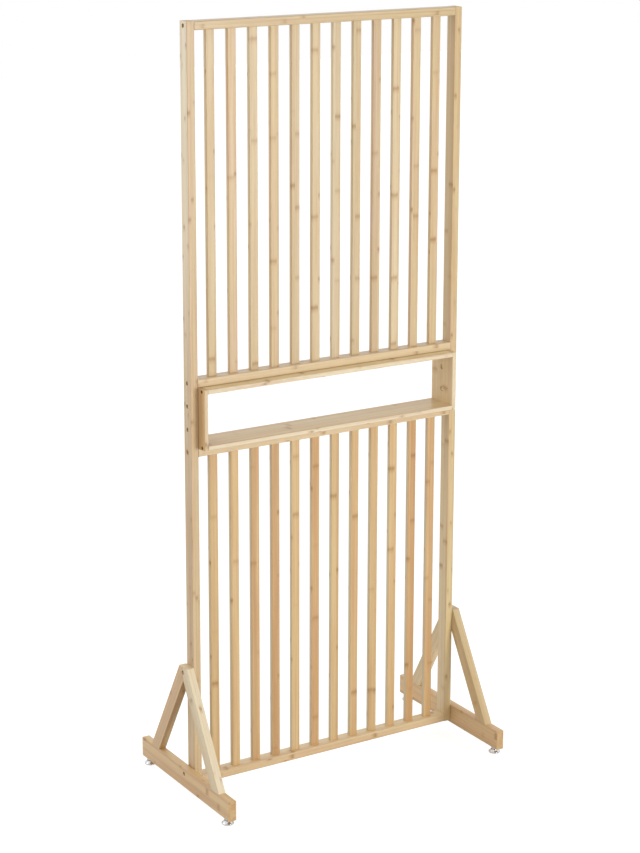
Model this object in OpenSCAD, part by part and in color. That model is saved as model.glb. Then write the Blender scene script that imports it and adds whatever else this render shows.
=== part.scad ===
// Free-standing slat room divider with a shelf box, in bamboo.
// Two posts carry four rails. Slats stand between the rails above and below an open shelf box,
// and an A-shaped foot is bolted to the outside of each post.
// Millimetres. X runs across the panel, the front faces -Y, Z is up, and Z = 0 is the floor.

/* [Frame] */
// Height of the posts' tops above the floor
frame_h = 1650; // [1400:1:1850]
// Width across the posts' outer faces
frame_w = 668; // [520:1:900]
// Height of the posts' lower ends above the floor
post_lift = 20; // [16:1:24]
// Thickness of the posts, rails and feet
stock_t = 18; // [16:0.5:22]
// Depth of the posts and rails from front to back, and width of the struts
stock_w = 30; // [26:0.5:36]
// Radius of the rounded long edges
edge_r = 2; // [0.5:0.1:3]

/* [Slats] */
// Number of slats in each panel
slat_n = 12; // [8:1:16]
// Width of a slat across the panel
slat_w = 20; // [16:0.5:24]
// Thickness of a slat from front to back
slat_t = 10; // [8:0.5:14]
// Length of the stub tenon on each end of a slat
tenon_l = 8; // [5:0.5:10]
// Width of the shoulder round each tenon
shoulder = 2; // [1:0.1:2.5]
// Gap between a tenon and its mortise, all round and at its end
tenon_gap = 0.1; // [0.05:0.01:0.3]

/* [Shelf box] */
// Height of the box's underside above the floor
shelf_z = 768; // [500:1:1000]
// Outer height of the box
shelf_h = 130; // [110:1:260]
// Outer depth of the box from front to back
shelf_d = 80; // [64:1:140]
// Thickness of the box's boards
board_t = 10; // [9:0.5:14]

/* [Feet] */
// Length of a foot beam from front to back
beam_l = 388; // [340:1:460]
// Height of a foot beam
beam_h = 44; // [40:1:60]
// Height of the beams' undersides above the floor
beam_lift = 13; // [12:0.5:15]
// Angle of the struts from the beam
strut_angle = 60; // [57:0.5:66]
// Height of the apex above the beam's top
apex_rise = 231; // [180:1:260]
// Length of the apex's flat top
apex_flat = 34; // [28:1:40]
// Diameter of the dowel between a strut and its beam
dowel_d = 8; // [6:0.5:10]
// Length of that dowel
dowel_l = 28; // [20:1:36]

/* [Bolts and screws] */
// Diameter of the bolts
bolt_d = 5; // [4:0.5:6]
// Diameter of a bolt's head
bolt_head_d = 8.5; // [7.5:0.1:10]
// Height of a bolt's head
bolt_head_h = 5; // [3:0.1:6]
// Width across the flats of a head's hexagon socket
bolt_socket = 4; // [2.5:0.5:4.5]
// Depth of a head's top below the timber's face
bolt_sunk = 2.5; // [0:0.1:4]
// Radial clearance of the bolts in their bores and counterbores
bolt_gap = 0.3; // [0.1:0.05:0.5]
// Outer diameter of a threaded insert
insert_d = 8; // [7:0.1:9]
// Length of a threaded insert
insert_l = 12; // [8:0.5:14]
// Distance between the two bolts in each shelf side
shelf_bolt_pitch = 50; // [36:1:60]
// Diameter of a sleeve nut's flange
nut_flange_d = 11; // [10:0.5:14]
// Thickness of a sleeve nut's flange
nut_flange_t = 1.6; // [1:0.1:2.5]
// Depth of a sleeve nut's flange below the side board's inner face
nut_sunk = 1.4; // [0:0.1:2]
// Outer diameter of a sleeve nut's barrel
nut_barrel_d = 7; // [6.6:0.1:8]
// Distance from each foot beam's bolt up from the bottom rail's bolt
foot_bolt_up = 16; // [14:0.5:18]
// Distance from each apex's bolt down from the apex's top
apex_bolt_drop = 12; // [9:0.5:15]
// Diameter of the shelf screws
screw_d = 4; // [3:0.1:4.5]
// Diameter of a shelf screw's countersunk head
screw_head_d = 7.5; // [6:0.1:8.5]
// Length of the shelf screws
screw_l = 30; // [20:1:45]
// Distance of the shelf screws from the boards' front and back edges
screw_inset = 10; // [7:0.5:11]

/* [Levelling feet] */
// Distance of each foot's axis from the end of its beam
glide_inset = 20; // [16:0.5:26]
// Diameter of the pad
pad_d = 26; // [20:0.5:32]
// Height of the pad's upright rim
pad_rim = 3; // [1.5:0.1:4]
// Height of the pad
pad_h = 8; // [6:0.1:9]
// Diameter of the stud
stud_d = 8; // [6:0.5:10]
// Length of the stud above the pad's socket floor
stud_l = 42; // [34:1:44]
// Depth of the socket in the pad
socket_l = 5; // [3:0.5:5]
// Width across the flats of the stud's hexagon
hex_w = 13; // [12:0.5:16]
// Radial running clearance of the stud in the pad and the tee nut
run_gap = 0.05; // [0.02:0.01:0.1]
// Gap between the stud's hexagon and the pad
hex_gap = 0.3; // [0.2:0.05:0.6]
// Diameter of the tee nut's flange
tee_flange_d = 17; // [15.5:0.5:18]
// Thickness of the tee nut's flange
tee_flange_t = 1.5; // [1:0.1:2]
// Wall of the tee nut's barrel
tee_wall = 1.5; // [1:0.1:2]
// Length of the tee nut with its flange
tee_l = 12; // [8:0.5:14]

/* [Hidden] */
$fn = 48;
cut = 1; // how far a cutter runs past the face that it opens

// Across the panel
post_x = frame_w / 2 - stock_t; // inner face of a post
foot_x = frame_w / 2; // outer face of a post, where the foot is bolted on
inner_w = 2 * post_x;
slat_pitch = slat_w + (inner_w - slat_n * slat_w) / (slat_n + 1);
shelf_x = post_x - board_t; // inner face of a side board

// Levels of the rails' undersides
bottom_z = post_lift;
lower_z = shelf_z - stock_t;
upper_z = shelf_z + shelf_h;
top_z = frame_h - stock_t;
RAIL_LEVELS = [bottom_z, lower_z, upper_z, top_z];

// Levels of the bolts
SHELF_BOLT_LEVELS = [for (s = [-1, 1]) shelf_z + shelf_h / 2 + s * shelf_bolt_pitch / 2];
beam_top = beam_lift + beam_h;
apex_z = beam_top + apex_rise;
FOOT_BOLT_LEVELS = [bottom_z + stock_t / 2 + foot_bolt_up, apex_z - apex_bolt_drop];

// The strut's outline at its landing on the beam, and where its dowel stands
land_out = apex_flat / 2 + apex_rise / tan(strut_angle);
land_in = land_out - stock_w / sin(strut_angle);
dowel_y = (land_out + land_in) / 2;

// Fasteners
head_seat = bolt_head_h + bolt_sunk; // depth of a counterbore
bolt_bore_d = bolt_d + 2 * bolt_gap;
head_bore_d = bolt_head_d + 2 * bolt_gap;
bolt_l = stock_t - head_seat + insert_l; // shank of a rail or foot bolt
nut_seat = nut_flange_t + nut_sunk; // depth of a sleeve nut's recess
shelf_bolt_l = stock_t - head_seat + board_t - nut_seat - nut_flange_t;
nut_l = board_t - nut_seat - 1; // the barrel stops short of the side board's outer face
screw_cone = (screw_head_d - screw_d) / 2; // a 90 degree countersink

// Levelling feet
glide_x = foot_x + stock_t / 2;
glide_y = beam_l / 2 - glide_inset;
socket_z = pad_h - socket_l; // floor of the pad's socket
tee_d = stud_d + 2 * run_gap + 2 * tee_wall;
stud_top = socket_z + stud_l;
GLIDES = [
    ["front_left", -1, -1],
    ["front_right", 1, -1],
    ["back_left", -1, 1],
    ["back_right", 1, 1]
];

function number(i) = i < 9 ? str("0", i + 1) : str(i + 1);

// ---------------------------------------------------------------- shared shapes

// A rectangle with rounded corners, centred
module rounded_rectangle(a, b, r) {
    square([a - 2 * r, b], center = true);
    square([a, b - 2 * r], center = true);
    for (x = [-1, 1], y = [-1, 1])
        translate([x * (a / 2 - r), y * (b / 2 - r)])
            circle(r = r);
}

// A bar with rounded long edges, standing on Z = 0
module upright_bar(x, y, length) {
    linear_extrude(length)
        rounded_rectangle(x, y, edge_r);
}

// The same bar lying along X, centred on the origin
module cross_bar(length, y, z) {
    translate([-length / 2, 0, 0])
        rotate([90, 0, 90])
            linear_extrude(length)
                rounded_rectangle(y, z, edge_r);
}

// The same bar lying along Y, centred on the origin
module deep_bar(length, x, z) {
    translate([0, length / 2, 0])
        rotate([90, 0, 0])
            linear_extrude(length)
                rounded_rectangle(x, z, edge_r);
}

// A rod along +X from its start
module rod_x(d, length) {
    rotate([0, 90, 0])
        cylinder(d = d, h = length);
}

// The counterbore and bore that a bolt needs, entering along +X at X = 0
module bolt_way(through) {
    translate([-cut, 0, 0])
        rod_x(head_bore_d, head_seat + cut);
    rod_x(bolt_bore_d, through + cut);
}

// A socket-head bolt lying along +X, with the timber's face at X = 0
module bolt(shank) {
    translate([bolt_sunk, 0, 0])
        difference() {
            union() {
                rod_x(bolt_head_d, bolt_head_h);
                rod_x(bolt_d, bolt_head_h + shank);
            }
            translate([-cut, 0, 0])
                rotate([0, 90, 0])
                    cylinder(d = bolt_socket / cos(30), h = bolt_head_h / 2 + cut, $fn = 6);
        }
}

// A threaded insert lying along +X, with its mouth at X = 0
module insert() {
    difference() {
        rod_x(insert_d, insert_l);
        translate([-cut, 0, 0])
            rod_x(bolt_d, insert_l + 2 * cut);
    }
}

// Puts a shape that enters along +X on the left side, and its mirror image on the right
module on_side(side) {
    if (side < 0)
        children();
    else
        mirror([1, 0, 0])
            children();
}

// ---------------------------------------------------------------- frame

module post(side) {
    color("burlywood")
        on_side(side)
            difference() {
                translate([-foot_x + stock_t / 2, 0, post_lift])
                    upright_bar(stock_t, stock_w, frame_h - post_lift);
                for (z = RAIL_LEVELS)
                    translate([-foot_x, 0, z + stock_t / 2])
                        bolt_way(stock_t);
                for (z = SHELF_BOLT_LEVELS)
                    translate([-foot_x, 0, z])
                        bolt_way(stock_t);
                for (z = FOOT_BOLT_LEVELS)
                    translate([-foot_x - cut, 0, z])
                        rod_x(insert_d, insert_l + cut);
            }
}

// Mortises for a row of slats, cut down into the face at Z = 0
module mortise_row() {
    w = slat_w - 2 * shoulder + 2 * tenon_gap;
    t = slat_t - 2 * shoulder + 2 * tenon_gap;
    depth = tenon_l + tenon_gap;
    for (i = [0 : slat_n - 1])
        translate([slat_x(i) - w / 2, -t / 2, -depth])
            cube([w, t, depth + cut]);
}

function slat_x(i) = (i - (slat_n - 1) / 2) * slat_pitch;

// A rail, with mortises in its top face, its underside, or neither
module rail(z, mortise_top, mortise_under) {
    color("burlywood")
        difference() {
            translate([0, 0, z + stock_t / 2])
                cross_bar(inner_w, stock_w, stock_t);
            for (side = [-1, 1])
                on_side(side)
                    translate([-post_x - cut, 0, z + stock_t / 2])
                        rod_x(insert_d, insert_l + cut);
            if (mortise_top)
                translate([0, 0, z + stock_t])
                    mortise_row();
            if (mortise_under)
                translate([0, 0, z])
                    mirror([0, 0, 1])
                        mortise_row();
        }
}

// A slat between two rail faces, with a stub tenon in each
module slat(i, low, high) {
    color("wheat")
        translate([slat_x(i), 0, 0]) {
            translate([0, 0, low])
                upright_bar(slat_w, slat_t, high - low);
            translate([-slat_w / 2 + shoulder, -slat_t / 2 + shoulder, low - tenon_l])
                cube([slat_w - 2 * shoulder, slat_t - 2 * shoulder, high - low + 2 * tenon_l]);
        }
}

// ---------------------------------------------------------------- shelf box

// A pilot and countersink for each shelf screw of one side, or the screws themselves
module shelf_screw_set(grow) {
    for (y = [-1, 1], z = [shelf_z + board_t / 2, shelf_z + shelf_h - board_t / 2])
        translate([-post_x, y * (shelf_d / 2 - screw_inset), z]) {
            rotate([0, 90, 0])
                cylinder(d1 = screw_head_d, d2 = screw_d, h = screw_cone);
            translate([-grow, 0, 0])
                rod_x(screw_d, screw_l + 2 * grow);
        }
}

module shelf_side(side) {
    color("burlywood")
        on_side(side)
            difference() {
                translate([-post_x + board_t / 2, 0, shelf_z])
                    upright_bar(board_t, shelf_d, shelf_h);
                for (z = SHELF_BOLT_LEVELS) {
                    translate([-post_x - cut, 0, z])
                        rod_x(nut_barrel_d, board_t + 2 * cut);
                    translate([-shelf_x - nut_seat, 0, z])
                        rod_x(nut_flange_d + 2 * bolt_gap, nut_seat + cut);
                }
                shelf_screw_set(cut);
            }
}

module shelf_board(z) {
    color("wheat")
        difference() {
            translate([0, 0, z + board_t / 2])
                cross_bar(2 * shelf_x, shelf_d, board_t);
            for (side = [-1, 1])
                on_side(side)
                    shelf_screw_set(0);
        }
}

module shelf_screws() {
    color("silver")
        for (side = [-1, 1])
            on_side(side)
                shelf_screw_set(0);
}

module shelf_bolts() {
    color("silver")
        for (side = [-1, 1], z = SHELF_BOLT_LEVELS)
            on_side(side)
                translate([-foot_x, 0, z])
                    bolt(shelf_bolt_l);
}

// Each nut's flange lies in a recess in the inner face of a side board, with its barrel behind
module sleeve_nuts() {
    color("silver")
        for (side = [-1, 1], z = SHELF_BOLT_LEVELS)
            on_side(side)
                translate([-shelf_x - nut_seat, 0, z])
                    difference() {
                        union() {
                            rod_x(nut_flange_d, nut_flange_t);
                            translate([-nut_l, 0, 0])
                                rod_x(nut_barrel_d, nut_l);
                        }
                        translate([-nut_l - cut, 0, 0])
                            rod_x(bolt_d, nut_l + cut);
                    }
}

// ---------------------------------------------------------------- feet

module foot_beam(side) {
    color("burlywood")
        on_side(side)
            difference() {
                translate([-glide_x, 0, beam_lift + beam_h / 2])
                    deep_bar(beam_l, stock_t, beam_h);
                translate([-foot_x - stock_t, 0, FOOT_BOLT_LEVELS[0]])
                    bolt_way(stock_t);
                for (y = [-1, 1]) {
                    translate([-glide_x, y * dowel_y, beam_top - dowel_l / 2])
                        cylinder(d = dowel_d, h = dowel_l);
                    translate([-glide_x, y * glide_y, beam_lift - cut])
                        tee_nut_way();
                }
            }
}

// The recess for a tee nut's flange, the bore for its barrel, and room above it for the stud
module tee_nut_way() {
    cylinder(d = tee_flange_d, h = tee_flange_t + cut);
    cylinder(d = tee_d, h = tee_l + cut);
    cylinder(d = stud_d + 2 * bolt_gap, h = stud_top - beam_lift + 2 * cut);
}

// A strut leans from the apex out to the beam. It is a rounded bar, trimmed by the plane where
// the two struts meet, by the apex's flat top and by the beam's top.
module strut(side, y_side) {
    reach = apex_rise / sin(strut_angle) + 2 * stock_w;
    color("burlywood")
        on_side(side)
            mirror([0, y_side < 0 ? 1 : 0, 0])
                difference() {
                    intersection() {
                        translate([-glide_x, land_out, beam_top])
                            rotate([90 - strut_angle, 0, 0])
                                translate([0, -stock_w / 2, -stock_w])
                                    upright_bar(stock_t, stock_w, reach + stock_w);
                        translate([-glide_x - stock_t, 0, beam_top])
                            cube([2 * stock_t, beam_l, apex_rise]);
                    }
                    translate([-foot_x - stock_t, 0, FOOT_BOLT_LEVELS[1]])
                        bolt_way(stock_t);
                    translate([-glide_x, dowel_y, beam_top - dowel_l / 2])
                        cylinder(d = dowel_d, h = dowel_l);
                }
}

module strut_dowels() {
    color("tan")
        for (x = [-1, 1], y = [-1, 1])
            translate([x * glide_x, y * dowel_y, beam_top - dowel_l / 2])
                cylinder(d = dowel_d, h = dowel_l);
}

module foot_bolts() {
    color("silver")
        for (side = [-1, 1], z = FOOT_BOLT_LEVELS)
            on_side(side)
                translate([-foot_x - stock_t, 0, z])
                    bolt(bolt_l);
}

// ---------------------------------------------------------------- hardware in the frame

module rail_bolts() {
    color("silver")
        for (side = [-1, 1], z = RAIL_LEVELS)
            on_side(side)
                translate([-foot_x, 0, z + stock_t / 2])
                    bolt(bolt_l);
}

module rail_inserts() {
    color("goldenrod")
        for (side = [-1, 1], z = RAIL_LEVELS)
            on_side(side)
                translate([-post_x, 0, z + stock_t / 2])
                    insert();
}

module post_inserts() {
    color("goldenrod")
        for (side = [-1, 1], z = FOOT_BOLT_LEVELS)
            on_side(side)
                translate([-foot_x, 0, z])
                    insert();
}

// ---------------------------------------------------------------- levelling feet

module tee_nuts() {
    color("goldenrod")
        for (g = GLIDES)
            translate([g[1] * glide_x, g[2] * glide_y, beam_lift])
                difference() {
                    union() {
                        cylinder(d = tee_flange_d, h = tee_flange_t);
                        cylinder(d = tee_d, h = tee_l);
                    }
                    translate([0, 0, -cut])
                        cylinder(d = stud_d + 2 * run_gap, h = tee_l + 2 * cut);
                }
}

// The pad is a turned disc with an upright rim and a shallow cone up to a collar
module pad(g) {
    color("gainsboro")
        translate([g[1] * glide_x, g[2] * glide_y, 0])
            difference() {
                rotate_extrude()
                    polygon([
                        [0, 0],
                        [pad_d / 2, 0],
                        [pad_d / 2, pad_rim],
                        [hex_w / 2 + 2, pad_h - 1],
                        [hex_w / 2 + 1, pad_h],
                        [0, pad_h]
                    ]);
                translate([0, 0, socket_z])
                    cylinder(d = stud_d + 2 * run_gap, h = socket_l + cut);
            }
}

// The stud stands on its socket's floor, and its hexagon stops under the tee nut
module stud(g) {
    color("silver")
        translate([g[1] * glide_x, g[2] * glide_y, 0]) {
            translate([0, 0, socket_z])
                cylinder(d = stud_d, h = stud_l);
            translate([0, 0, pad_h + hex_gap])
                cylinder(d = hex_w / cos(30), h = beam_lift - pad_h - hex_gap, $fn = 6);
        }
}

// ---------------------------------------------------------------- nodes

post(-1);  // left_post
post(1);  // right_post
rail(top_z, false, true);  // top_rail
rail(upper_z, true, false);  // upper_mid_rail
rail(lower_z, false, true);  // lower_mid_rail
rail(bottom_z, true, false);  // bottom_rail
for (i = [0 : slat_n - 1]) {
    slat(i, upper_z + stock_t, top_z);
    slat(i, bottom_z + stock_t, lower_z);
}
shelf_board(shelf_z + shelf_h - board_t);  // shelf_top_board
shelf_board(shelf_z);  // shelf_bottom_board
shelf_side(-1);  // shelf_left_board
shelf_side(1);  // shelf_right_board
foot_beam(-1);  // left_foot_beam
foot_beam(1);  // right_foot_beam
strut(-1, -1);  // left_front_strut
strut(-1, 1);  // left_back_strut
strut(1, -1);  // right_front_strut
strut(1, 1);  // right_back_strut
rail_bolts();
rail_inserts();
shelf_bolts();
sleeve_nuts();
shelf_screws();
foot_bolts();
post_inserts();
strut_dowels();
tee_nuts();
for (g = GLIDES) {
    pad(g);
    stud(g);
}
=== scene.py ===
# %% [markdown]
# # A bamboo slat screen with a shelf box
#
# The object is a free-standing room divider: two posts, four rails, twenty-four slats, an open
# shelf box and two A-shaped feet, all planed from laminated bamboo, with plated screws and
# levelling feet. The solid model of it is loaded first and never changes. Everything below
# dresses it: a camera, a pale studio, timber and metal finishes, and new small pieces whose real
# shape is finer than the solid model's.

# %% The fixed frame
import math

import bmesh
import bpy
import numpy as np
from mathutils import Matrix, Vector


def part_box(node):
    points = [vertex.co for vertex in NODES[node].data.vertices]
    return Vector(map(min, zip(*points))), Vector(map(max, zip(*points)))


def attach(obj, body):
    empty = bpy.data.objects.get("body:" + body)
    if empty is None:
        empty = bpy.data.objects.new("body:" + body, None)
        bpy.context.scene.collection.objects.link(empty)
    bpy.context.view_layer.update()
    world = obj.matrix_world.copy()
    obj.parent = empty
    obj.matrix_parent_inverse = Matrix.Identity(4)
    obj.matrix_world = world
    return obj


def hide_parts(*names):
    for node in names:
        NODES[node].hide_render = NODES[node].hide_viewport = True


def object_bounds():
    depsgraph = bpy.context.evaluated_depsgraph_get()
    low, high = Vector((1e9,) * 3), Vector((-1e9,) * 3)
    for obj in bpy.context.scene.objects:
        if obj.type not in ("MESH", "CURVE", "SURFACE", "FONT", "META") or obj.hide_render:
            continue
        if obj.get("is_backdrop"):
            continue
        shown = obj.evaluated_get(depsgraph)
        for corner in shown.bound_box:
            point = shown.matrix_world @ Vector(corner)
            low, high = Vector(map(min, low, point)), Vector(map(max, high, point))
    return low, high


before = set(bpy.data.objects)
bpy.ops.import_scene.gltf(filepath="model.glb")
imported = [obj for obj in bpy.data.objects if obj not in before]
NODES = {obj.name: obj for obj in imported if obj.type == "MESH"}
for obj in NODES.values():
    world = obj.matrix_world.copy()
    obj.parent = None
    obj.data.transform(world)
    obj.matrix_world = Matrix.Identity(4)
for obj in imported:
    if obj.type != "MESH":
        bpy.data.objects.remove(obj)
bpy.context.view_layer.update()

MM = 0.001

# %% [markdown]
# ## The camera
#
# The picture was taken from the left of the screen and above its top. A view camera, whose lens
# can be moved down, had kept the posts upright in it. Moving the lens as far as it did would push
# the object out of other views. So this one is moved down by 0.13 of the picture's height, which
# those views still have room for, and tilted for the rest. It stands where the places of the
# corners in the picture differ least. Its place is given by the point it stands on, the way it
# faces and its tilt.

# %% The camera
PICTURE = (640, 853)
EYE = (-2.410, -3.869, 2.062)
YAW, PITCH, ROLL = math.radians(31.76), math.radians(12.99), math.radians(-0.13)
FOCUS_PX = 2200

camera_data = bpy.data.cameras.new("camera")
camera_data.sensor_width = 36
camera_data.lens = FOCUS_PX / max(PICTURE) * camera_data.sensor_width
camera_data.shift_y = -0.13
camera_data.clip_start, camera_data.clip_end = 0.1, 100
camera = bpy.data.objects.new("camera", camera_data)
camera.location = EYE
camera.rotation_euler = (math.pi / 2 - PITCH, ROLL, -YAW)
bpy.context.scene.collection.objects.link(camera)
bpy.context.scene.camera = camera
print("lens", round(camera_data.lens, 1), "mm, shift", round(camera_data.shift_y, 2))

# %% [markdown]
# ## Colours and nodes
#
# Colours are written as on a paint card, in sRGB hex, and turned to the linear values that a
# shader works in. Every material below is a small network, and one helper adds any node to it:
# named inputs get a number, a colour or the output of another node, and the rest are settings.

# %% Colours and nodes
def linear(hex_colour):
    """An sRGB hex colour as linear red, green, blue and 1: each part over 0.04045 is
    ((c + 0.055) / 1.055) to the power 2.4, and a darker one is c / 12.92."""
    parts = [int(hex_colour[i:i + 2], 16) / 255 for i in (1, 3, 5)]
    parts = [c / 12.92 if c <= 0.04045 else ((c + 0.055) / 1.055) ** 2.4 for c in parts]
    return (*parts, 1)


def add(tree, kind, inputs=None, **settings):
    """Adds a shader node with its settings and inputs, and returns its outputs."""
    node = tree.nodes.new("ShaderNode" + kind)
    for name, value in settings.items():
        setattr(node, name, value)
    for name, value in (inputs or {}).items():
        if isinstance(value, bpy.types.NodeSocket):
            tree.links.new(value, node.inputs[name])
        else:
            node.inputs[name].default_value = value
    return node.outputs


def empty_material(name):
    """A material with no nodes, and its node tree."""
    material = bpy.data.materials.new(name)
    material.use_nodes = True
    material.node_tree.nodes.clear()
    return material, material.node_tree


print("bamboo straw in linear light:", [round(c, 3) for c in linear("#E2CDA4")])

# %% [markdown]
# ## The light
#
# Three lights make the picture. A tall softbox stands in front, 17 degrees to the right and a
# little taller than the object, so each side of the shelf box throws an upright shadow with a
# soft edge on its post, and none falls on the rail below it. The world is the room: its wall and
# ceiling are lit, and brighten the sides and tops, while its front is dim and warm. A small
# softbox at the back left lifts the top of the left post. A sun would be simpler, but its shadows
# are hard. All of it together comes to about one, so a colour renders about as it is written.
#
# The white of the background costs the object no light: rays from the camera, and those that
# gloss and glass send on, simply find white in the world.

# %% The light
def seen_rays(tree, *kinds):
    """1 for a ray of one of the kinds, such as "Is Camera Ray", and 0 for others: the greatest
    of what the kinds say."""
    ray = add(tree, "LightPath")
    seen = ray[kinds[0]]
    for kind in kinds[1:]:
        seen = add(tree, "Math", {0: seen, 1: ray[kind]}, operation="MAXIMUM")[0]
    return seen


def room():
    """The light from all round: the dim front of the room, the lit wall behind and ceiling, and
    white where the camera or a gloss looks. How far a direction points to the wall and ceiling
    is its dot product with UP_AND_BACK, and the one light goes over into the other where that is
    within ROOM_EDGE of 0."""
    world = bpy.data.worlds.new("room")
    world.use_nodes = True
    tree = world.node_tree
    tree.nodes.clear()
    way = add(tree, "VectorMath", {0: add(tree, "TexCoord")["Generated"], 1: UP_AND_BACK},
              operation="DOT_PRODUCT")["Value"]
    way = add(tree, "MapRange", {"Value": way, "From Min": -ROOM_EDGE, "From Max": ROOM_EDGE},
              interpolation_type="SMOOTHSTEP")[0]
    light = add(tree, "Mix", {0: way, 6: linear(ROOM_LIGHT), 7: linear(WALL_LIGHT)},
                data_type="RGBA")[2]
    seen = seen_rays(tree, "Is Camera Ray", "Is Glossy Ray", "Is Transmission Ray")
    light = add(tree, "Mix", {0: seen, 6: light, 7: (1, 1, 1, 1)}, data_type="RGBA")[2]
    back = add(tree, "Background", {"Color": light, "Strength": 1.0})
    add(tree, "OutputWorld", {"Surface": back[0]})
    bpy.context.scene.world = world


def softbox(name, place, aim, size, watts, colour):
    """A softbox at a place, turned to a point: it shines down its own Z axis, so that axis is
    laid along the place less the point. The camera doesn't see it."""
    light = bpy.data.lights.new(name, "AREA")
    light.shape, light.size, light.size_y = "RECTANGLE", *size
    light.energy, light.color = watts, linear(colour)[:3]
    thing = bpy.data.objects.new(name, light)
    thing.location = place
    thing.rotation_euler = (Vector(place) - Vector(aim)).to_track_quat("Z", "Y").to_euler()
    thing.visible_camera = False
    bpy.context.scene.collection.objects.link(thing)


UP_AND_BACK, ROOM_EDGE = (0, 0.8, 0.6), 0.3
ROOM_LIGHT, WALL_LIGHT = "#98836E", "#F9F9F9"
room()
softbox("key", (1.62, -5.25, 0.95), (0, 0, 0.95), (1.60, 2.2), 134, "#FFFCF6")
softbox("edge", (-1.05, 0.75, 1.45), (-0.33, 0, 1.30), (0.5, 1.3), 3.5, "#FFFFFF")
print("room", ROOM_LIGHT, "and wall", WALL_LIGHT, "and two softboxes")

# %% [markdown]
# ## The white sweep
#
# In a studio, white paper hangs down behind the object and sweeps forward under it, so that no
# line shows where wall meets floor. Here the world is the wall, and a wide floor of the same
# white meets it. Light falls on the floor as on plain matt paper. The camera sees it as a glow
# and a duller paper added together, which come to white, and to a pale grey in the shadow.
#
# The floor lies 10 mm under the feet as they stand at rest, which is as far down as they come
# when they are screwed out, so it hides none of them in any pose.

# %% The white sweep
PAPER, DULLER_PAPER, GLOW = 0.80, 0.35, 0.82
REACH, DROP = 12.0, 10 * MM


def white_sweep():
    """White paper: a matt surface of PAPER for light, and for the camera one of DULLER_PAPER
    plus a light of GLOW."""
    material, tree = empty_material("white sweep")
    seen = seen_rays(tree, "Is Camera Ray")
    lit = add(tree, "BsdfDiffuse", {"Color": (PAPER, PAPER, PAPER, 1)})
    shadow = add(tree, "BsdfDiffuse", {"Color": (DULLER_PAPER, DULLER_PAPER, DULLER_PAPER, 1)})
    glow = add(tree, "Emission", {"Color": (1, 1, 1, 1), "Strength": GLOW})
    white = add(tree, "AddShader", {0: shadow[0], 1: glow[0]})
    mix = add(tree, "MixShader", {"Fac": seen, 1: lit[0], 2: white[0]})
    add(tree, "OutputMaterial", {"Surface": mix[0]})
    return material


paper = white_sweep()
floor_mesh = bpy.data.meshes.new("floor")
square = [(x * REACH, y * REACH, -DROP) for x, y in ((-1, -1), (1, -1), (1, 1), (-1, 1))]
floor_mesh.from_pydata(square, [], [(0, 1, 2, 3)])
floor_mesh.materials.append(paper)
floor = bpy.data.objects.new("floor", floor_mesh)
bpy.context.scene.collection.objects.link(floor)
floor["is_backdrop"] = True
bpy.context.scene.view_settings.view_transform = "Standard"
print("floor", 2 * REACH, "m wide,", DROP / MM, "mm under the feet at rest")

# %% [markdown]
# ## Laminated bamboo
#
# Bamboo is a hollow grass, so planks of it are glued up: the wall of the cane is split into
# strips about 20 mm wide and 5 to 7 mm thick, planed, glued side by side and planed again, then
# sealed with a satin lacquer. Four things tell the eye that this is bamboo and not pine. The
# strips differ a little in tone. Each strip has a short brown band every 15 to 25 cm, where the
# cane had a joint, and the bands of two neighbours don't line up. Fine dark fibres run dead
# straight along the grain. And a cut end shows dots, not rings.
#
# A flat pattern could be wrapped round each bar, but it would break at the edges. So the pattern
# is solid: it is worked out from the place of each point in the object, and a strip seen on a
# front face goes on round the rounded edge. Three directions describe a member: along the grain,
# and two across it. The slats of a panel are a row of members that share one material.

# %% A place in a member
ROW_STEP = 3.0


def member_place(tree, grain, across, seed, row):
    """The place of a point in its member, in mm: across the grain, across it the other way, and
    along it. It is the object's place turned so that the third part runs along the grain. In a
    row along X, the first part is counted from each member's own middle: it is the fraction of
    x over the pitch, times the pitch, less half of it. The member's number is the seed, plus
    ROW_STEP times the whole part."""
    turn = Matrix((across, np.cross(grain, across), grain)).to_euler()
    place = add(tree, "TexCoord")["Object"]
    place = add(tree, "Mapping", {"Vector": place, "Rotation": turn, "Scale": (1 / MM,) * 3})[0]
    if row is None:
        number = add(tree, "Value")[0]
        number.default_value = seed
        return place, number
    parts = add(tree, "SeparateXYZ", {0: place})
    steps = add(tree, "Math", {0: parts["X"], 1: 1 / row}, operation="MULTIPLY")[0]
    own = add(tree, "Math", {0: steps}, operation="FRACT")[0]
    own = add(tree, "Math", {0: own, 1: row, 2: -row / 2}, operation="MULTIPLY_ADD")[0]
    steps = add(tree, "Math", {0: steps}, operation="FLOOR")[0]
    number = add(tree, "Math", {0: steps, 1: ROW_STEP, 2: seed}, operation="MULTIPLY_ADD")[0]
    return add(tree, "CombineXYZ", {"X": own, "Y": parts["Y"], "Z": parts["Z"]})[0], number


print("places are in mm, and the numbers of a row are", ROW_STEP, "apart")

# %% [markdown]
# The strips are the cells of a grid across the grain, and a noise of the cell's number gives each
# strip its tone. The tones are cream in most of the rails, straw in the posts and the upper
# slats, and honey in the lower slats and the beams, with here and there a pink or faintly green
# one. They lie on a ramp that a noise picks from, which gives more different strips than a
# palette of a few materials would.

# %% Strips of bamboo
FIRST_GLUE, GLUE_SPREAD, OFF_FACE = 0.1, 0.8, 0.02


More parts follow.
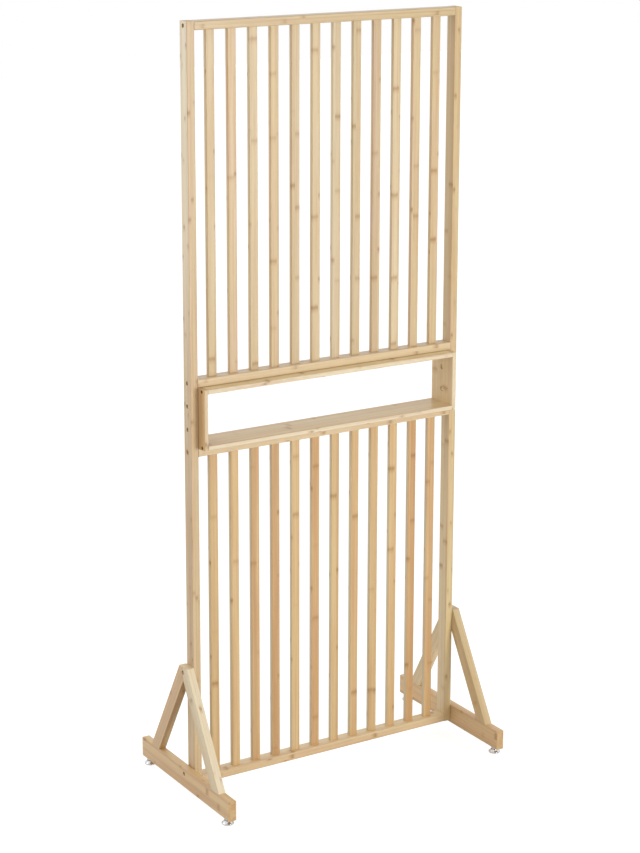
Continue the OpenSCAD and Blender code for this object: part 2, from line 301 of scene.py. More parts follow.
def strip_cells(tree, place, number, widths):
    """The number of the strip that a point is in, its distance from the strip's middle both
    ways, and the member's own chances. The first two are the floor and the fraction of the place
    over the strips' widths. The first glue line is moved by FIRST_GLUE of a strip and up to
    GLUE_SPREAD more, by chance, and the other way by OFF_FACE, so that none lies just in a
    face."""
    luck = add(tree, "TexWhiteNoise", {"W": number}, noise_dimensions="1D")["Color"]
    luck = add(tree, "SeparateColor", {"Color": luck})
    start = add(tree, "Math", {0: luck["Blue"], 1: GLUE_SPREAD, 2: FIRST_GLUE},
                operation="MULTIPLY_ADD")[0]
    start = add(tree, "CombineXYZ", {"X": start, "Y": OFF_FACE})[0]
    steps = add(tree, "VectorMath", {0: place, 1: (1 / widths[0], 1 / widths[1], 0), 2: start},
                operation="MULTIPLY_ADD")[0]
    cell = add(tree, "VectorMath", {0: steps}, operation="FLOOR")[0]
    cell = add(tree, "VectorMath", {0: cell, 1: add(tree, "CombineXYZ", {"Z": number})[0]})[0]
    off = add(tree, "VectorMath", {0: steps}, operation="FRACTION")[0]
    off = add(tree, "VectorMath", {0: off, 1: (0.5, 0.5, 0)}, operation="SUBTRACT")[0]
    off = add(tree, "VectorMath", {0: off}, operation="ABSOLUTE")[0]
    off = add(tree, "VectorMath", {0: off, 1: (widths[0], widths[1], 0)},
              operation="MULTIPLY")[0]
    return cell, off, luck


def strip_tone(tree, place, number, cell, luck, tones):
    """The colour of a strip, and its own chances. The colour is a ramp of tones, read at the
    member's chance times 1 - STRIP_SHARE, plus the strip's own times STRIP_SHARE, plus
    TONE_DRIFT times a slow noise along the grain less a half."""
    chance = add(tree, "TexWhiteNoise", {"Vector": cell}, noise_dimensions="3D")["Color"]
    chance = add(tree, "SeparateColor", {"Color": chance})
    slow = add(tree, "VectorMath", {0: place, 1: DRIFT_PER_MM}, operation="MULTIPLY")[0]
    drift = add(tree, "TexNoise", {"Vector": slow, "W": number, "Scale": 1.0, "Detail": 1.0},
                noise_dimensions="4D")["Fac"]
    at = add(tree, "Mix", {0: STRIP_SHARE, 2: luck["Red"], 3: chance["Red"]})[0]
    drift = add(tree, "Math", {0: drift, 1: TONE_DRIFT, 2: -TONE_DRIFT / 2},
                operation="MULTIPLY_ADD")[0]
    at = add(tree, "Math", {0: at, 1: drift}, operation="ADD")[0]
    ramp = add(tree, "ValToRGB", {"Fac": at})["Color"]
    stops = ramp.node.color_ramp.elements
    for _ in tones[2:]:  # a new ramp has two stops already
        stops.new(0.5)
    for stop, (share, colour) in zip(stops, tones):
        stop.position, stop.color = share, linear(colour)
    return ramp, chance


STRIP_SHARE, TONE_DRIFT, DRIFT_PER_MM = 0.45, 0.6, (0.03, 0.03, 0.004)
CREAM = [(0.00, "#F4E5C8"), (0.30, "#EEDAB2"), (0.60, "#E9D0A6"), (1.00, "#E0C092")]
STRAW = [(0.00, "#E8D8B9"), (0.25, "#DFCBA5"), (0.45, "#D9C399"), (0.65, "#D7BC8D"),
         (0.82, "#DDC09E"), (1.00, "#C9A676")]
HONEY = [(0.00, "#EBD3A4"), (0.25, "#E4C592"), (0.50, "#DFBC8A"), (0.75, "#D9B07E"),
         (1.00, "#CFA26C")]
print(len(CREAM), "tones of cream,", len(STRAW), "of straw and", len(HONEY), "of honey")

# %% [markdown]
# The joints of the cane come next. Each strip was cut from another cane, so the height of its
# joints is a chance of its own. The place along the grain over the joints' spacing, plus that
# chance, has a whole part, which numbers the joint, and a fraction, which says how far it is. A
# joint is a soft brown band some 25 mm high that fades at its ends, with a dark line where the
# wall inside the cane was cut away.

# %% Joints of the cane
JOINT_GAP, JOINT_SPREAD, JOINT_BEND = 195.0, 0.6, 5.0
BEND_PER_MM, ORDER_STEP = (0.35, 0.35, 0.05), (7.3, 3.1, 0)
BAND_EDGE, BAND_FULL = 13.0, 1.0
LINE_EDGE, LINE_FULL, LINE_RISE = 5.5, 0.5, 1.5


def cane_joints(tree, place, cell, chance):
    """How much of a joint's soft band, and of its dark line, lies at a point, from 0 to 1. Both
    come from the distance to the joint's middle, bent a little by noise. The band starts at
    BAND_EDGE mm from there and is full at BAND_FULL. The line starts at LINE_EDGE mm from a
    height LINE_RISE over the middle, and is full at LINE_FULL. Each joint draws its own chances
    from a noise of the cell's number and ORDER_STEP times its own: its place, anywhere in the
    middle JOINT_SPREAD of its stretch, and its strength, which is nothing for one in five."""
    along = add(tree, "SeparateXYZ", {0: place})["Z"]
    level = add(tree, "Math", {0: along, 1: 1 / JOINT_GAP, 2: chance["Green"]},
                operation="MULTIPLY_ADD")[0]
    order = add(tree, "Math", {0: level}, operation="FLOOR")[0]
    order = add(tree, "CombineXYZ", {"X": order, "Y": order})[0]
    order = add(tree, "VectorMath", {0: order, 1: ORDER_STEP, 2: cell},
                operation="MULTIPLY_ADD")[0]
    luck = add(tree, "TexWhiteNoise", {"Vector": order}, noise_dimensions="3D")["Color"]
    luck = add(tree, "SeparateColor", {"Color": luck})
    middle = add(tree, "Math", {0: luck["Red"], 1: JOINT_SPREAD, 2: (1 - JOINT_SPREAD) / 2},
                 operation="MULTIPLY_ADD")[0]
    off = add(tree, "Math", {0: level}, operation="FRACT")[0]
    off = add(tree, "Math", {0: off, 1: middle}, operation="SUBTRACT")[0]
    bend = add(tree, "VectorMath", {0: place, 1: BEND_PER_MM}, operation="MULTIPLY")[0]
    bend = add(tree, "TexNoise", {"Vector": bend, "Scale": 1.0, "Detail": 1.0})["Fac"]
    bend = add(tree, "Math", {0: bend, 1: JOINT_BEND, 2: -JOINT_BEND / 2},
               operation="MULTIPLY_ADD")[0]
    off = add(tree, "Math", {0: off, 1: JOINT_GAP, 2: bend}, operation="MULTIPLY_ADD")[0]
    far = add(tree, "Math", {0: off}, operation="ABSOLUTE")[0]
    band = add(tree, "MapRange", {"Value": far, "From Min": BAND_EDGE, "From Max": BAND_FULL},
               interpolation_type="SMOOTHSTEP")[0]
    line = add(tree, "Math", {0: off, 1: LINE_RISE}, operation="SUBTRACT")[0]
    line = add(tree, "Math", {0: line}, operation="ABSOLUTE")[0]
    line = add(tree, "MapRange", {"Value": line, "From Min": LINE_EDGE, "From Max": LINE_FULL},
               interpolation_type="SMOOTHSTEP")[0]
    strength = add(tree, "MapRange", {"Value": luck["Green"], "From Min": 0.2})[0]
    return [add(tree, "Math", {0: part, 1: strength}, operation="MULTIPLY")[0]
            for part in (band, line)]


print("a joint every", JOINT_GAP, "mm or so in each strip")

# %% [markdown]
# A board also looks a little different from another side, where the eye meets the strips' edges
# and not their flats. So a member may give the faces that look along a direction another tone:
# paler, duller or browner. Most of these tones are painted light, not timber: a duller top or
# underside is painted shade, a paler front a painted sheen and a paler front edge a painted
# highlight. The share of such a tone may change along the grain, so a post may be painted lighter
# or darker towards its foot or its top.

# %% Tones of the faces
def face_tones(tree, colour, normal, place, sides, fade):
    """The colour, mixed on some faces with another. Each of the sides is a direction, a colour
    and two shares. The first share holds where the grain is at fade[0] mm, the second at
    fade[1], and between them a share between. It is whole where a face looks straight along
    the direction, and nothing where the absolute dot product of the two is under 0.5."""
    for way, tone, low, high in sides:
        part = add(tree, "VectorMath", {0: normal, 1: way}, operation="DOT_PRODUCT")["Value"]
        part = add(tree, "Math", {0: part}, operation="ABSOLUTE")[0]
        share = add(tree, "SeparateXYZ", {0: place})["Z"]
        share = add(tree, "MapRange", {"Value": share, "From Min": fade[0], "From Max": fade[1],
                                       "To Min": low, "To Max": high})[0]
        part = add(tree, "MapRange", {"Value": part, "From Min": 0.5, "To Max": share})[0]
        colour = add(tree, "Mix", {0: part, 6: colour, 7: linear(tone)}, data_type="RGBA")[2]
    return colour


# The dull tone is painted shade on tops and sides, the brown one painted shade on an underside,
# and the creamy one a painted highlight on front edges.
PALE, HIGHLIGHT_CREAM, SHADE_DULL, GREYISH, SHADE_BROWN = "#F4EACE", "#FFF6DE", "#8F8A80", "#D7D8C2", "#B69466"
print("tones of the faces:", PALE, HIGHLIGHT_CREAM, SHADE_DULL, GREYISH, SHADE_BROWN)

# %% [markdown]
# The fibres are noise drawn out forty times along the grain, and the darkest of them show as
# dashes. Real bundles of fibres are a third of a millimetre wide. These are three times as wide,
# to show in the picture. A broader noise makes streaks some 5 mm wide, peach where it is high and
# faintly green where it is low. A glue line is really a hair's width, and is drawn 0.4 mm wide on
# each of its strips, to show at all.

# %% Fibres, streaks and glue lines
FIBRES_PER_MM, STREAKS_PER_MM = (0.9, 0.9, 0.022), (0.22, 0.22, 0.003)
GLUE_WIDTH = 0.4
STREAK_SHARE, STREAK_TINTS = 0.3, ((0.52, 0.72, "#DDA877"), (0.48, 0.28, "#DDD3A4"))


def fine_marks(tree, place, number, off, widths):
    """Fibres, their dashes, streaks and glue lines, each from 0 to 1. A glue line rises over the
    last GLUE_WIDTH mm before the edge of its strip, which is half the strip's width from its
    middle, and the greater of the two ways across counts."""
    thin = add(tree, "VectorMath", {0: place, 1: FIBRES_PER_MM}, operation="MULTIPLY")[0]
    fibre = add(tree, "TexNoise", {"Vector": thin, "Scale": 1.0, "Detail": 3.0,
                                   "Roughness": 0.6})["Fac"]
    dash = add(tree, "MapRange", {"Value": fibre, "From Min": 0.56, "From Max": 0.70})[0]
    broad = add(tree, "VectorMath", {0: place, 1: STREAKS_PER_MM}, operation="MULTIPLY")[0]
    streak = add(tree, "TexNoise", {"Vector": broad, "W": number, "Scale": 1.0, "Detail": 1.0},
                 noise_dimensions="4D")["Fac"]
    off = add(tree, "SeparateXYZ", {0: off})
    glue = [add(tree, "MapRange", {"Value": off[k], "From Min": widths[k] / 2 - GLUE_WIDTH,
                                   "From Max": widths[k] / 2})[0] for k in (0, 1)]
    glue = add(tree, "Math", {0: glue[0], 1: glue[1]}, operation="MAXIMUM")[0]
    return fibre, dash, streak, glue


print("a fibre is about", round(1 / FIBRES_PER_MM[0], 1), "mm wide and",
      round(1 / FIBRES_PER_MM[2]), "mm long")

# %% [markdown]
# Where a face looks along the grain, it is a cut end: darker, rougher, and dotted with the ends
# of the fibres, drawn coarser than they are as well. Lacquer makes the rest a smooth dielectric
# of index 1.5 and middling roughness, so pale surfaces gain a soft white sheen at a low angle.
# One function puts all of it together, because every member is the same timber and only its
# strips, tones and faces differ.

# %% Laminated bamboo
def cut_ends(tree, place, normal, grain):
    """How much of a point is cut end, from 0 to 1, and how light it is there. The first rises
    with the absolute dot product of the normal and the grain. The second is lowest in the
    middle of the cells that stand for the fibres' ends."""
    facing = add(tree, "VectorMath", {0: normal, 1: grain}, operation="DOT_PRODUCT")["Value"]
    facing = add(tree, "Math", {0: facing}, operation="ABSOLUTE")[0]
    cut = add(tree, "MapRange", {"Value": facing, "From Min": 0.70, "From Max": 0.90})[0]
    flat = add(tree, "VectorMath", {0: place, 1: (DOTS_PER_MM, DOTS_PER_MM, 0)},
               operation="MULTIPLY")[0]
    dots = add(tree, "TexVoronoi", {"Vector": flat, "Scale": 1.0})["Distance"]
    dots = add(tree, "MapRange", {"Value": dots, "From Min": 0.15, "From Max": 0.45,
                                  "To Min": 0.64, "To Max": 0.84})[0]
    return cut, dots


def bamboo(name, grain, across, widths, seed, tones, row=None, sides=(), fade=(450, 1500)):
    """Laminated bamboo under satin lacquer. grain and across are unit vectors. widths are those
    of a strip, in mm, along across and along the third direction. row is the pitch of a row of
    members, in mm. sides and fade are as in face_tones. The shade is a chance of the strip's
    own, less shares of the streaks, fibres, dashes and glue lines, and scales the colour."""
    material, tree = empty_material(name)
    place, number = member_place(tree, grain, across, seed, row)
    cell, off, luck = strip_cells(tree, place, number, widths)
    colour, chance = strip_tone(tree, place, number, cell, luck, tones)
    normal = add(tree, "TexCoord")["Normal"]
    colour = face_tones(tree, colour, normal, place, sides, fade)
    band, line = cane_joints(tree, place, cell, chance)
    fibre, dash, streak, glue = fine_marks(tree, place, number, off, widths)
    cut, dots = cut_ends(tree, place, normal, grain)

    for low, high, tint in STREAK_TINTS:
        part = add(tree, "MapRange", {"Value": streak, "From Min": low, "From Max": high,
                                      "To Max": STREAK_SHARE})[0]
        colour = add(tree, "Mix", {0: part, 6: colour, 7: linear(tint)}, data_type="RGBA")[2]
    for part, weight, brown in ((band, 0.48, "#B98A50"), (line, 0.38, "#8E6238")):
        part = add(tree, "Math", {0: part, 1: weight}, operation="MULTIPLY")[0]
        colour = add(tree, "Mix", {0: part, 6: colour, 7: linear(brown)}, data_type="RGBA")[2]
    shade = add(tree, "MapRange", {"Value": chance["Blue"], "To Min": 1.05, "To Max": 1.17})[0]
    for part, weight in ((streak, -0.24), (fibre, -0.12), (dash, -0.06), (glue, -0.10)):
        shade = add(tree, "Math", {0: part, 1: weight, 2: shade}, operation="MULTIPLY_ADD")[0]
    shade = add(tree, "Mix", {0: cut, 2: shade, 3: dots})[0]
    colour = add(tree, "VectorMath", {0: colour, "Scale": shade}, operation="SCALE")[0]

    height = add(tree, "Math", {0: fibre, 1: 0.25}, operation="MULTIPLY")[0]
    for part, weight in ((band, 0.5), (line, -0.8), (glue, -0.4)):
        height = add(tree, "Math", {0: part, 1: weight, 2: height}, operation="MULTIPLY_ADD")[0]
    bump = add(tree, "Bump", {"Height": height, "Strength": 0.5, "Distance": RELIEF})[0]
    rough = add(tree, "MapRange", {"Value": fibre, "To Min": 0.29, "To Max": 0.37})[0]
    rough = add(tree, "Mix", {0: cut, 2: rough, 3: END_ROUGHNESS})[0]
    shader = add(tree, "BsdfPrincipled", {"Base Color": colour, "Roughness": rough,
                                          "IOR": LACQUER_IOR, "Normal": bump})
    add(tree, "OutputMaterial", {"Surface": shader[0]})
    return material


DOTS_PER_MM, RELIEF = 1.1, 0.08 * MM
LACQUER_IOR, END_ROUGHNESS = 1.5, 0.62
print("lacquer of index", LACQUER_IOR, "over a relief of", RELIEF / MM, "mm")

# %% [markdown]
# ## The timber members
#
# Now each member gets its timber. The two panels of slats are rows along X. The posts, rails,
# boards and beams are a table: the way the grain runs, a way across it, how wide and thick the
# strips are, a seed that picks them, the tones, and the tones of the faces, which are mostly
# painted light. The left post's sides are painted paler towards its top, a painted sheen, and its
# front and back are paler towards its foot. The right post is painted lighter towards its foot,
# against the shadow of its strut, and its sides darker towards its top, so the right one has a
# line of its own. A strut's grain leans with it, 60 degrees from the floor, so its directions are
# worked out from that.

# %% The timber members
def dress(material, *names):
    """Puts a finish on nodes of the frame, in place of the plain one they came with."""
    for name in names:
        NODES[name].data.materials.clear()
        NODES[name].data.materials.append(material)


X, Y, Z = np.eye(3)
SLAT_COUNT = 12
slats = [name for name in NODES if "_slat_" in name]
middle = [(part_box(f"upper_slat_{k:02d}")[0][0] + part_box(f"upper_slat_{k:02d}")[1][0]) / 2
          for k in (1, SLAT_COUNT)]
SLAT_PITCH = (middle[1] - middle[0]) / (SLAT_COUNT - 1) / MM
# The upper slats' duller sides are painted shade, and their paler fronts a painted sheen.
for level, seed, tones, sides in (
        ("upper", 101, STRAW, [(X, SHADE_DULL, 0.1, 0.1), (Y, PALE, 0.15, 0.15)]),
        ("lower", 3011, HONEY, [(X, GREYISH, 0.6, 0.6)])):
    dress(bamboo("bamboo, " + level + " slats", Z, X, (15, 12), seed, tones, row=SLAT_PITCH,
                 sides=sides), *[name for name in slats if name.startswith(level)])
for name, grain, across, widths, seed, tones, sides, nodes in (
        # The left post's sides are painted paler towards its top: a painted sheen.
        ("left post", Z, X, (6.2, 8), 3, STRAW, [(X, PALE, 0.05, 0.8), (Y, "#F4DFB4", 0.35, 0)],
         ("left_post",)),
        # On the top and upper rails the duller tops are painted shade; the rails' paler fronts are
        # a painted sheen.
        ("top rail", X, Z, (9, 15), 1060, STRAW, [(Y, PALE, 0.12, 0.12), (Z, SHADE_DULL, 0.4, 0.4)],
         ("top_rail",)),
        ("upper rail", X, Z, (9, 15), 6, CREAM, [(Y, PALE, 0.35, 0.35), (Z, SHADE_DULL, 0.38, 0.38)],
         ("upper_mid_rail",)),
        ("lower rail", X, Z, (9, 15), 6, CREAM, [(Y, PALE, 0.35, 0.35)], ("lower_mid_rail",)),
        ("bottom rail", X, Z, (9, 15), 6, CREAM, [(Y, PALE, 0.12, 0.12)], ("bottom_rail",)),
        # The boards' paler and creamier front edges are a painted highlight, and the top board's
        # paler top is painted light in the shade of the rail above it.
        ("top board", X, Y, (20, 5), 7, CREAM, [(Y, HIGHLIGHT_CREAM, 0.7, 0.7), (Z, "#FFF0C0", 0.5, 0.5)],
         ("shelf_top_board",)),
        ("shelf board", X, Y, (20, 5), 8, STRAW, [(Y, HIGHLIGHT_CREAM, 0.7, 0.7)],
         ("shelf_bottom_board",)),
        ("left board", Z, Y, (20, 5), 9, HONEY, [(Y, PALE, 0.5, 0.5)], ("shelf_left_board",)),
        ("right board", Z, Y, (20, 5), 9, CREAM, [(Y, PALE, 0.6, 0.6)], ("shelf_right_board",)),
        ("foot beams", Y, Z, (15, 6), 14, HONEY, [(X, PALE, 0.15, 0.15)],
         ("left_foot_beam", "right_foot_beam"))):
    dress(bamboo("bamboo, " + name, grain, across, widths, seed, tones, sides=sides), *nodes)
# The right post is painted lighter towards its foot, against the shadow of its strut, and its
# sides darker towards its top: painted light and shade.
dress(bamboo("bamboo, right post", Z, X, (6.2, 15), 3, STRAW, fade=(250, 1000),
             sides=[(X, PALE, 0.35, 0), (X, SHADE_DULL, 0, 0.14), (Y, "#F7E6B2", 0.45, 0.18)]),
      "right_post")
LEAN = math.radians(60)
for side, sign in (("front", 1), ("back", -1)):
    up = np.array([0, sign * math.cos(LEAN), math.sin(LEAN)])
    out = np.array([0, -sign * math.sin(LEAN), math.cos(LEAN)])
    # The left front strut's paler upward face is a painted sheen, and the left back strut's
    # browner underside is painted shade.
    left = [(out, PALE, 0.9, 0.9), (X, PALE, 0.4, 0.4)]
    if side == "back":
        left = [(out, SHADE_BROWN, 0.9, 0.9), (X, "#D9B488", 0.8, 0.8)]
    for place, tones, sides in (("left", CREAM, left), ("right", STRAW, ())):
        dress(bamboo("bamboo, " + place + " " + side + " strut", up, X, (6, 15), 21 + sign,
                     tones, sides=sides), place + "_" + side + "_strut")
in_bamboo = [name for name in NODES if NODES[name].data.materials[0].name.startswith("bamboo")]
print("slats stand", round(SLAT_PITCH, 2), "mm apart;", len(in_bamboo), "nodes in bamboo")

# %% [markdown]
# ## Plated metal
#
# The bolts, screws, nuts and inserts are steel, plated with zinc and passivated yellow, so they
# look like dull brass next to the timber. The heads of the small screws are given a darker,
# browner plating. The levelling feet are chromed, so they show the white room with thin dark
# edges. Plating has no grain: all that tells it from a mirror is how its roughness drifts over a
# few millimetres.
#
# The dowels of the struts are beech. They lie inside the timber and never show, so the timber's
# own network is near enough for them.

# %% Plated metal
def plated(name, colour, low, high):
    """Plated steel: a metal whose roughness drifts from low to high with a noise whose swells
    are HAZE apart."""
    material, tree = empty_material(name)
    haze = add(tree, "TexNoise", {"Vector": add(tree, "TexCoord")["Object"],
                                  "Scale": 1 / HAZE, "Detail": 3.0})["Fac"]
    rough = add(tree, "MapRange", {"Value": haze, "From Min": 0.3, "From Max": 0.7,
                                   "To Min": low, "To Max": high})[0]
    shader = add(tree, "BsdfPrincipled", {"Base Color": linear(colour), "Metallic": 1.0,
                                          "Roughness": rough})
    add(tree, "OutputMaterial", {"Surface": shader[0]})
    return material


HAZE = 4 * MM
yellow_zinc = plated("yellow zinc-plated steel", "#E0C898", 0.16, 0.30)
brown_zinc = plated("yellow zinc-plated steel, darker", "#6E5838", 0.30, 0.45)
chrome = plated("chromed steel", "#D9DBDE", 0.05, 0.11)
dress(yellow_zinc, "rail_inserts", "post_inserts", "tee_nuts")
dress(bamboo("beech dowel", Z, X, (8, 8), 31, STRAW), "strut_dowels")
print("platings:", [metal.name for metal in (yellow_zinc, brown_zinc, chrome)])

# %% [markdown]
# ## Turned pieces
#
# Each fastener and foot is a turned piece: a profile goes round an axis. Spinning a curve would
# do for a plain one, but these have hexagons and threads too. So a piece is worked out as a grid,
# with the profile down the rows and the turn across the columns, and the radius may depend on
# both. Each row of a profile holds a radius, a height, how far its section has gone from a circle
# to a spanner's or a screwdriver's shape, and a slope. A hexagon's radius is half the width
# across its flats, divided by the cosine of the angle from the middle of the flat. The slope
# lowers the corners of a hexagon, as a lathe tool does that cuts a cone.

# %% Turned pieces
def eased(rows, ease):
    """Rounds the corners of a profile. Each inner corner becomes a curve of five points from one
    of its sides to the other. As s goes from 0 to 1, the curve's start counts for (1 - s)
    squared, the corner for 2 s (1 - s), and the curve's end for s squared. Start and end lie on
    the sides at the distance ease from the corner, or at 0.4 of the side if that is less."""
    rows = np.asarray(rows, float)
    side = np.diff(rows, axis=0)
    length = np.hypot(side[:, 0], side[:, 1])[:, None]
    part = side * np.minimum(ease / np.maximum(length, 1e-9), 0.4)
    corner = rows[1:-1, None]
    start, end = corner - part[:-1, None], corner + part[1:, None]
    s = np.linspace(0, 1, 5)[None, :, None]
    curve = (1 - s) ** 2 * start + 2 * s * (1 - s) * corner + s ** 2 * end
    return np.vstack([rows[:1], curve.reshape(-1, 4), rows[-1:]])


def hexagon(r, degrees):
    """The radius of a hexagon: r over the cosine of the angle from the middle of a flat."""
    return r / np.cos(np.radians(degrees % 60 - 30))


def cross(r, degrees):
    """The radius of a cross whose arms are 0.6 r wide: r along an arm, and beside it 0.3 r over
    the sine of the angle from its middle."""
    beside = np.radians(45 - np.abs(degrees % 90 - 45))
    return r * np.minimum(1, 0.3 / np.maximum(np.sin(beside), 1e-6))


def turned(profile, columns=48, thread=None, section=hexagon):
    """The points of a turned piece that stands on the Z axis, in mm, as rows x columns x 3. Row
    (r, h, k, c) lies at radius (1 - k) r + k times the section's, and at height
    h + c (radius - r). thread is its low and high end, its pitch and its depth: there the radius
    loses the depth times a triangle wave of h / pitch less the share of the turn, which is a
    right-hand thread. It fades in and out over one pitch at its ends."""
    profile = np.asarray(profile, float)
    turn = np.arange(columns) / columns
    r, h, k, c = (profile[:, i, None] for i in range(4))
    radius = (1 - k) * r + k * section(r, turn * 360)
    height = h + c * (radius - r)
    if thread:
        low, high, pitch, depth = thread
        wave = np.abs(2 * ((h / pitch - turn) % 1) - 1)
        fade = np.clip((h - low) / pitch, 0, 1) * np.clip((high - h) / pitch, 0, 1)
        radius = radius - depth * wave * fade
    angle = 2 * np.pi * turn
    return np.stack([radius * np.cos(angle), radius * np.sin(angle),
                     height + 0 * angle], axis=-1)


def plain(rows):
    """Profile rows of radius and height alone: round, with no slope."""
    return [(*row, 0, 0) for row in rows]


print("a hexagon 13 mm across its flats reaches", round(float(hexagon(6.5, 0)), 2),
      "mm at its corners")

# %% [markdown]
# The grid then becomes a mesh. Its columns join up round it, and its first and last rows are
# single points on the axis, so a fan of triangles closes each end and no seam is left. Shading is
# smooth but for the sharp edges. The volume that is printed for each piece is positive only if
# its faces point outwards.

# %% From a grid to a piece
SHARP = 32


def closed(points):
    """The vertices and faces of a grid whose columns join up round it and whose first and last
    rows are single points on its axis. Face (i, j) joins columns j and j + 1 of rows i and
    i + 1, and a fan of triangles closes each end."""
    rows, columns = points.shape[:2]
    verts = np.vstack([points[0, :1], points[1:-1].reshape(-1, 3), points[-1, :1]])
    here, along = np.mgrid[0:rows - 3, 0:columns]
    after = (along + 1) % columns
    quads = 1 + np.stack([here * columns + along, here * columns + after,
                          (here + 1) * columns + after, (here + 1) * columns + along], -1)
    ring, after = np.arange(columns), (np.arange(columns) + 1) % columns
    last = len(verts) - 1
    first_fan = np.stack([0 * ring, 1 + after, 1 + ring], -1)
    last_fan = np.stack([last + 0 * ring, last - columns + ring, last - columns + after], -1)
    return verts, quads.reshape(-1, 4).tolist() + first_fan.tolist() + last_fan.tolist()


def piece(name, parts, material, slot, body, *stands_for):
    """Makes one mesh of several sets of vertices in mm and their faces, finishes it, and puts it
    in the frame in place of nodes of the solid model. The vertices are stacked, so the numbers
    in a set's faces go up by the count of those before it."""
    verts, faces, start = [], [], 0
    for some_verts, some_faces in parts:
        verts.append(some_verts)
        faces += [[start + i for i in face] for face in some_faces]
        start += len(some_verts)
    mesh = bpy.data.meshes.new(name)
    mesh.from_pydata((np.vstack(verts) * MM).tolist(), [], faces)
    mesh.polygons.foreach_set("use_smooth", [True] * len(faces))
    mesh.set_sharp_from_angle(angle=math.radians(SHARP))
    mesh.materials.append(material)
    solid = bmesh.new()
    solid.from_mesh(mesh)
    print(name, len(faces), "faces,", round(solid.calc_volume(signed=True) * 1e9), "cubic mm")
    solid.free()
    thing = bpy.data.objects.new(name, mesh)
    bpy.context.scene.collection.objects.link(thing)
    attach(thing, body)
    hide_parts(*stands_for)


print("edges that turn by more than", SHARP, "degrees stay sharp")

# %% [markdown]
# ## Levelling feet
#
# Under each end of a beam stands a small round foot: a chromed disc with a rolled rim, a shallow
# cone and a collar. A stud turns in the collar. It has a hexagon for a spanner, and its thread
# goes up into the tee nut. The disc slides down as the stud is screwed out, so they are two
# pieces on two bodies. Both come from profiles. The profile starts on the axis, goes out and
# round, and comes back to the axis, so each piece is closed.

# %% Levelling feet
CORNERS = ("front_left", "front_right", "back_left", "back_right")
EASE = 0.45
PAD_ROWS = [(0, 0.6), (8.5, 0.6), (9.6, 0), (12.1, 0), (13, 0.9), (13, 2.3), (12.3, 3.1),
            (11.2, 3.5), (8.9, 5.9), (8.3, 6.9), (7.9, 7.9), (7.2, 8.0), (4.5, 8.0), (4.06, 7.6),
            (4.06, 3.0), (0, 3.0)]
HEX_LOW, HEX_HIGH, THREAD_LOW, STUD_TOP = 8.3, 13.0, 13.0, 45.0
PITCH, DEPTH, CONE = 1.25, 0.68, math.tan(math.radians(30))
SHANK = np.arange(THREAD_LOW + 0.3, STUD_TOP - 1.2, PITCH / 8)
STUD_ROWS = (plain([(0, 3), (3.6, 3.0), (4.0, 3.4), (4.0, HEX_LOW), (5.9, HEX_LOW)])
             + [(6.5, HEX_LOW + 0.4, 1, CONE), (6.5, HEX_HIGH - 0.4, 1, -CONE)]
             + plain([(5.9, HEX_HIGH), (4.0, HEX_HIGH)] + [(4.0, z) for z in SHANK]
                     + [(4.0, STUD_TOP - 1.0), (3.1, STUD_TOP), (0, STUD_TOP)]))
for corner in CORNERS:
    low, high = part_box(corner + "_pad")
    middle = (np.array(low) + np.array(high)) / 2 / MM * (1, 1, 0)
    pad = closed(turned(eased(plain(PAD_ROWS), EASE), columns=72) + middle)
    piece("chromed_pad_" + corner, [pad], chrome, "chrome", corner + "_pad", corner + "_pad")
    stud = closed(turned(STUD_ROWS, 48, (THREAD_LOW, STUD_TOP, PITCH, DEPTH)) + middle)
    piece("threaded_stud_" + corner, [stud], chrome, "chrome", corner + "_stud",
          corner + "_stud")

# %% [markdown]
# ## Bolts and sleeve nuts
#
# The rails, the shelf box and the feet are held by socket-head bolts, 5 mm thick. A hexagon key
# turns them. Each head lies deep in its counterbore and is domed, so from the side one sees the
# dark bore first, and then the dome as a small bright crescent. The shelf bolts end in sleeve
# nuts, whose flanges lie in shallow recesses inside the box. All are laid along X: their own axis
# becomes X, and on the right side they are turned round, not mirrored, so the threads stay
# right-handed.

# %% Bolts and sleeve nuts
def laid(points, way, place):
    """Lays a turned piece along X from a place, into the timber: with way 1 its points
    (x, y, h) go to (h, x, y), and with way -1 to (-h, -x, y). Both are plain turns."""
    x, y, h = np.moveaxis(points, -1, 0)
    return np.stack([way * h, way * x, y], axis=-1) + place


def bolt(end):
    """A domed socket-head bolt from the timber's face, h = 0, to its end. The top of the head
    is SUNK under the face, and its seat HEAD under that. The profile starts at the bottom of the
    socket, and has five rows to a turn of the thread."""
    top, seat = SUNK, SUNK + HEAD
    rows = (plain([(0, top + 3.0), (1.8, top + 2.5)])
            + [(2.0, top + 2.4, 1, 0), (2.0, top + 0.3, 1, 0)]
            + plain([(2.5, top), (2.9, top + 0.15), (3.4, top + 0.5), (3.8, top + 1.0),
                     (4.1, top + 1.7), (4.25, top + 2.6), (4.25, seat - 0.3), (3.95, seat),
                     (2.7, seat), (2.5, seat + 0.2)]
                    + [(2.5, h) for h in np.arange(seat + 1, end - 1.2, BOLT_PITCH / 5)]
                    + [(2.5, end - 0.8), (1.8, end), (0, end)]))
    return turned(rows, 36, (seat + 1, end - 0.6, BOLT_PITCH, BOLT_DEPTH))


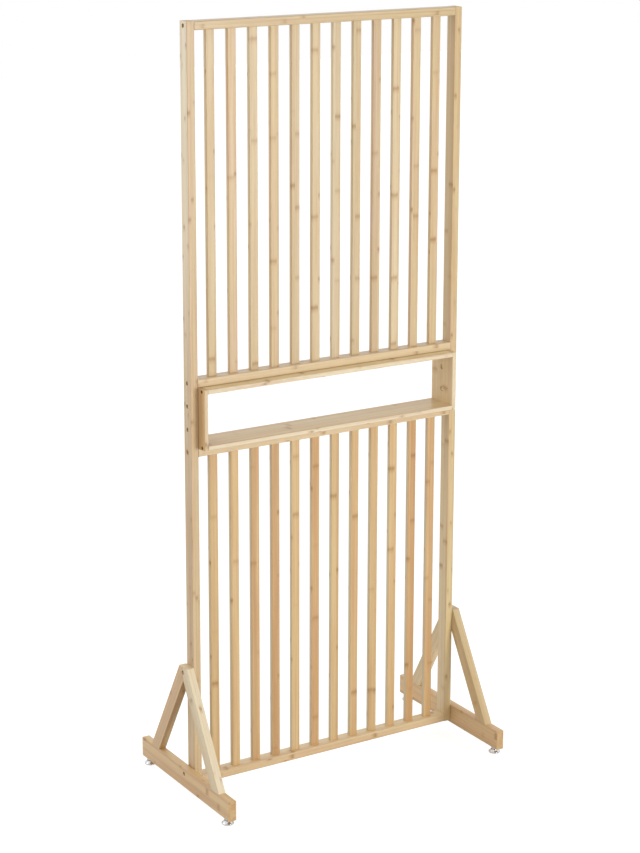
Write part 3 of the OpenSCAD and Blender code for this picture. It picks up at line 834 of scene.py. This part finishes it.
SUNK, HEAD, BOLT_PITCH, BOLT_DEPTH = 2.5, 5.0, 0.8, 0.42
NUT_ROWS = (plain([(0, 1.1), (1.8, 1.0)]) + [(2.0, 0.9, 1, 0), (2.0, 0.2, 1, 0)]
            + plain([(2.5, 0), (4.8, 0), (5.3, 0.2), (5.5, 0.6), (5.5, 1.3), (5.2, 1.6),
                     (3.5, 1.6), (3.5, 7.3), (3.2, 7.6), (2.5, 7.6), (2.5, 1.6), (0, 1.6)]))
RAILS = ("bottom_rail", "lower_mid_rail", "upper_mid_rail", "top_rail")
RAIL_BOLT, SHELF_BOLT, FOOT_BOLT = 30.0, 23.4, 30.0
rail_levels = [(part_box(rail)[0][2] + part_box(rail)[1][2]) / 2 / MM for rail in RAILS]
shelf_levels, foot_levels = (808.0, 858.0), (45.0, 276.0)
POST_FACE, FOOT_FACE, NUT_FACE = -334.0, -352.0, -307.4
print("bolts into the rails at heights", [round(z, 1) for z in rail_levels], "mm")
for name, node, face, levels, end in (
        ("socket_bolts_rails", "rail_bolts", POST_FACE, rail_levels, RAIL_BOLT),
        ("socket_bolts_shelf", "shelf_bolts", POST_FACE, shelf_levels, SHELF_BOLT),
        ("socket_bolts_feet", "foot_bolts", FOOT_FACE, foot_levels, FOOT_BOLT)):
    one = bolt(end)
    piece(name, [closed(laid(one, way, (way * face, 0, z))) for way in (1, -1) for z in levels],
          yellow_zinc, "zinc_steel", "frame", node)
one = turned(NUT_ROWS, 48)
piece("flanged_sleeve_nuts", [closed(laid(one, -way, (way * NUT_FACE, 0, z)))
                              for way in (1, -1) for z in shelf_levels],
      yellow_zinc, "zinc_steel", "frame", "sleeve_nuts")

# %% [markdown]
# ## Shelf screws
#
# Eight countersunk screws go through the sides of the box into the ends of its boards. Their
# heads lie flush, with a recess for a cross-head screwdriver. The recess tapers: it is the cross
# section at two depths, and a point at the bottom. The thread is the coarse one of a wood screw.

# %% Shelf screws
SCREW_PITCH, SCREW_DEPTH = 1.8, 0.6
BOX_FACE, SCREW_PLACES = -316.0, [(y, z) for y in (-30, 30) for z in (773, 893)]
SCREW_ROWS = (plain([(0, 2.4), (0.3, 2.2)]) + [(0.9, 2.0, 1, 0), (1.9, 0.15, 1, 0)]
              + plain([(2.3, 0), (3.5, 0), (3.75, 0.15), (2.0, 1.75)]
                      + [(2.0, h) for h in np.arange(6, 26, SCREW_PITCH / 6)]
                      + [(1.9, 27), (1.2, 28.6), (0.3, 29.8), (0, 30)]))
one = turned(SCREW_ROWS, 48, (6.0, 27.0, SCREW_PITCH, SCREW_DEPTH), cross)
piece("countersunk_shelf_screws",
      [closed(laid(one, way, (way * BOX_FACE, y, z))) for way in (1, -1) for y, z in SCREW_PLACES],
      brown_zinc, "zinc_steel", "frame", "shelf_screws")

# %% [markdown]
# ## The sizes
#
# Dressing the object must not make it larger. So the box round what stands there now is taken at
# the end. Every new piece rides on its body.

# %% The sizes
low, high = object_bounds()
